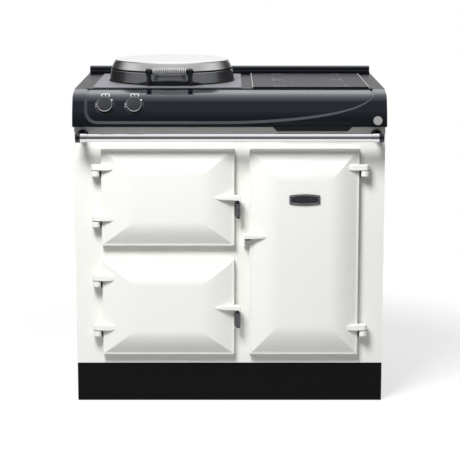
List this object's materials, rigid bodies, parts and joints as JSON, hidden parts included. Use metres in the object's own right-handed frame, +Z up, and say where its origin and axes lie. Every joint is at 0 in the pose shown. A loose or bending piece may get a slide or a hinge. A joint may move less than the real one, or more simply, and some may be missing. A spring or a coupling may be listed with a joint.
{
  "type": "range cooker",
  "caption": "Free-standing cast iron range cooker with hinged enamelled oven doors, a lidded hotplate, a glass induction hob, rotary controls and a front towel rail.",
  "frame": {"origin": "On the floor, below the middle of the bounding box of the whole cooker.", "axes": "+X to the right seen from the front, +Y from the front to the back, +Z up. The doors face -Y."},
  "size_m": [0.898, 0.674, 0.9849],
  "materials": {
    "white_enamel": "gloss",
    "black_enamel": "gloss",
    "chrome": "polished",
    "brushed_steel": "satin",
    "cast_aluminium": "satin",
    "cast_iron": "matte",
    "zinc_steel": "satin",
    "black_steel": "satin",
    "glass_ceramic": "gloss",
    "copper": "satin",
    "black_plastic": "satin",
    "mineral_wool": "matte"
  },
  "bodies": {
    "cooker_body": {"plinth": "black_enamel", "base_frame": "zinc_steel", "front_plate": "white_enamel", "side_panel_left": "white_enamel", "side_panel_right": "white_enamel", "rear_panel": "zinc_steel", "fascia": "black_enamel", "control_panel": "black_enamel", "cooling_outlet": "black_steel", "knob_bezel_left": "black_plastic", "knob_bezel_right": "black_plastic", "switch_module": "black_plastic", "round_plate": "brushed_steel", "towel_rail": "chrome", "rail_bracket_left": "black_enamel", "rail_bracket_right": "black_enamel", "hinge_bracket_upper_left_lower": "white_enamel", "hinge_bracket_upper_left_upper": "white_enamel", "hinge_bracket_lower_left_lower": "white_enamel", "hinge_bracket_lower_left_upper": "white_enamel", "hinge_bracket_right_lower": "white_enamel", "hinge_bracket_right_upper": "white_enamel", "oven_roasting": "cast_iron", "shelf_roasting": "chrome", "oven_element_roasting": "black_steel", "oven_simmering": "cast_iron", "shelf_simmering": "chrome", "oven_element_simmering": "black_steel", "oven_slow": "cast_iron", "shelf_slow": "chrome", "oven_element_slow": "black_steel", "insulation_jacket": "mineral_wool", "top_plate": "black_enamel", "hotplate_surround": "brushed_steel", "hotplate_pan": "zinc_steel", "hotplate": "cast_iron", "hotplate_element": "black_steel", "lid_hinge_block": "black_enamel", "hob_glass": "glass_ceramic", "induction_coil_front": "copper", "induction_coil_rear": "copper", "hob_tray": "zinc_steel", "rear_bar": "black_enamel", "terminal_box": "black_plastic"},
    "door_upper_left": {"door_upper_left": "white_enamel", "door_liner_upper_left": "cast_aluminium", "door_handle_upper_left": "black_steel"},
    "door_lower_left": {"door_lower_left": "white_enamel", "door_liner_lower_left": "cast_aluminium", "door_handle_lower_left": "black_steel"},
    "door_right": {"door_right": "white_enamel", "door_liner_right": "cast_aluminium", "name_plate_blank": "black_enamel"},
    "hotplate_lid": {"lid_dome": "chrome", "lid_liner": "cast_aluminium", "lid_handle_frame": "black_enamel", "lid_handle_coil": "chrome", "lid_hinge_arm": "chrome"},
    "control_knob_left": {"knob_left": "black_plastic"},
    "control_knob_right": {"knob_right": "black_plastic"}
  },
  "joints": [
    {"name": "door_upper_left_hinge", "type": "hinge", "parent": "cooker_body", "child": "door_upper_left", "pos_m": [-0.3845, -0.283, 0.608], "axis": [0, 0, -1], "range_deg": [0, 120]},
    {"name": "door_lower_left_hinge", "type": "hinge", "parent": "cooker_body", "child": "door_lower_left", "pos_m": [-0.3845, -0.283, 0.2855], "axis": [0, 0, -1], "range_deg": [0, 120]},
    {"name": "door_right_hinge", "type": "hinge", "parent": "cooker_body", "child": "door_right", "pos_m": [0.388, -0.283, 0.44675], "axis": [0, 0, 1], "range_deg": [0, 120]},
    {"name": "hotplate_lid_hinge", "type": "hinge", "parent": "cooker_body", "child": "hotplate_lid", "pos_m": [-0.175, 0.2623, 0.9283], "axis": [-1, 0, 0], "range_deg": [0, 92]},
    {"name": "knob_left_turn", "type": "hinge", "parent": "cooker_body", "child": "control_knob_left", "pos_m": [-0.3555, -0.27017, 0.871], "axis": [0, 0.9304, -0.3665], "range_deg": [0, 270]},
    {"name": "knob_right_turn", "type": "hinge", "parent": "cooker_body", "child": "control_knob_right", "pos_m": [-0.272, -0.27017, 0.871], "axis": [0, 0.9304, -0.3665], "range_deg": [0, 270]}
  ]
}
